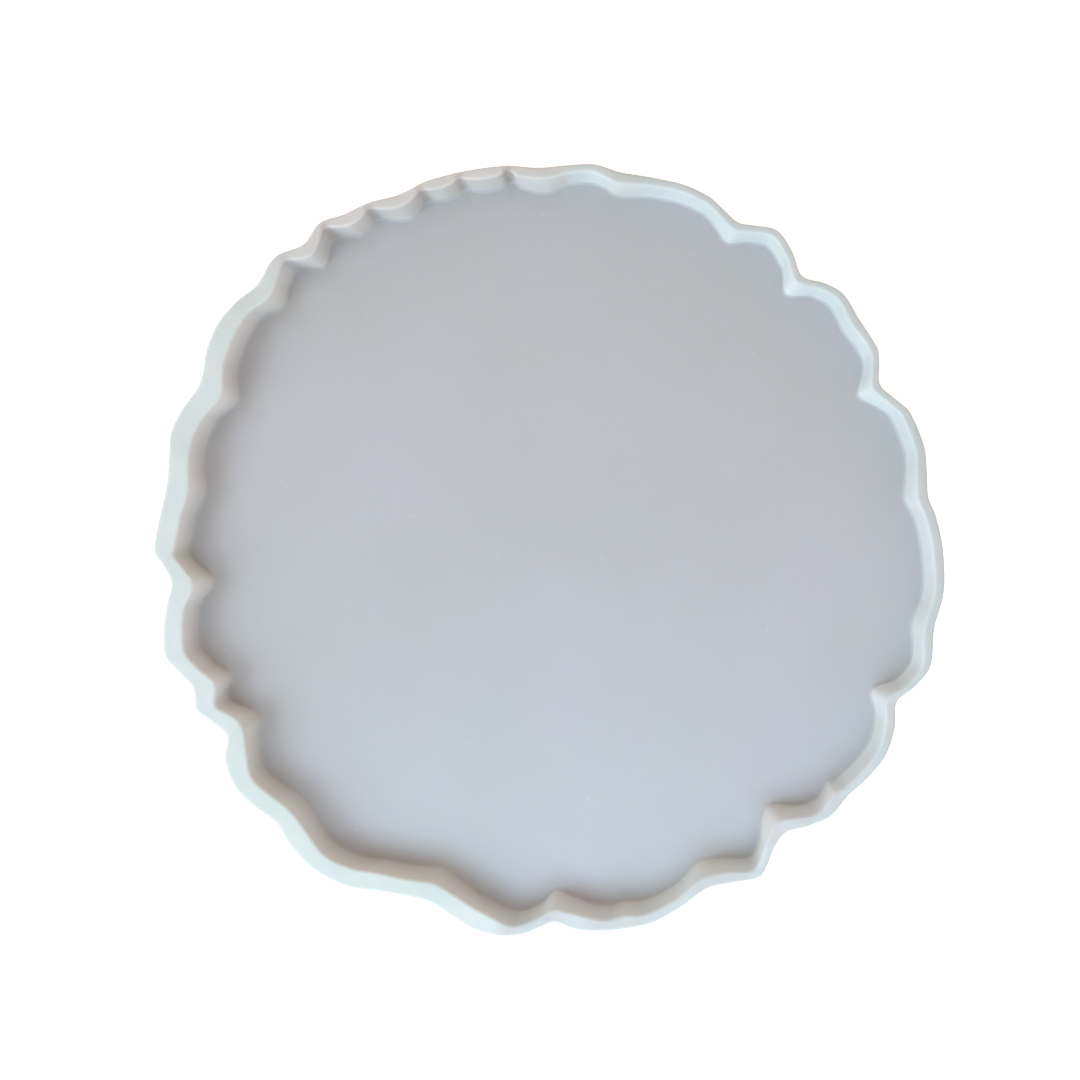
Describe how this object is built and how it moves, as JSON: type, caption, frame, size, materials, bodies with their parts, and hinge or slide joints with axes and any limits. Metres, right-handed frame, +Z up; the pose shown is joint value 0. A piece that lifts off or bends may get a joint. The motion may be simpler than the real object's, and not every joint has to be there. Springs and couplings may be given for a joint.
{
  "type": "resin casting mould",
  "caption": "Shallow open-topped silicone mould with a scalloped, agate-slice outline, for casting a flat resin tray or coaster.",
  "frame": {"origin": "centre of the flat underside, under the middle of the outline's bounding box", "axes": "+Z up out of the cavity, +X along the longest width, +Y across it"},
  "size_m": [0.2, 0.195, 0.013],
  "materials": {
    "silicone": "milky translucent silicone, satin"
  },
  "bodies": {
    "root": {"rim_wall": "silicone", "floor_sheet": "silicone"}
  },
  "joints": []
}
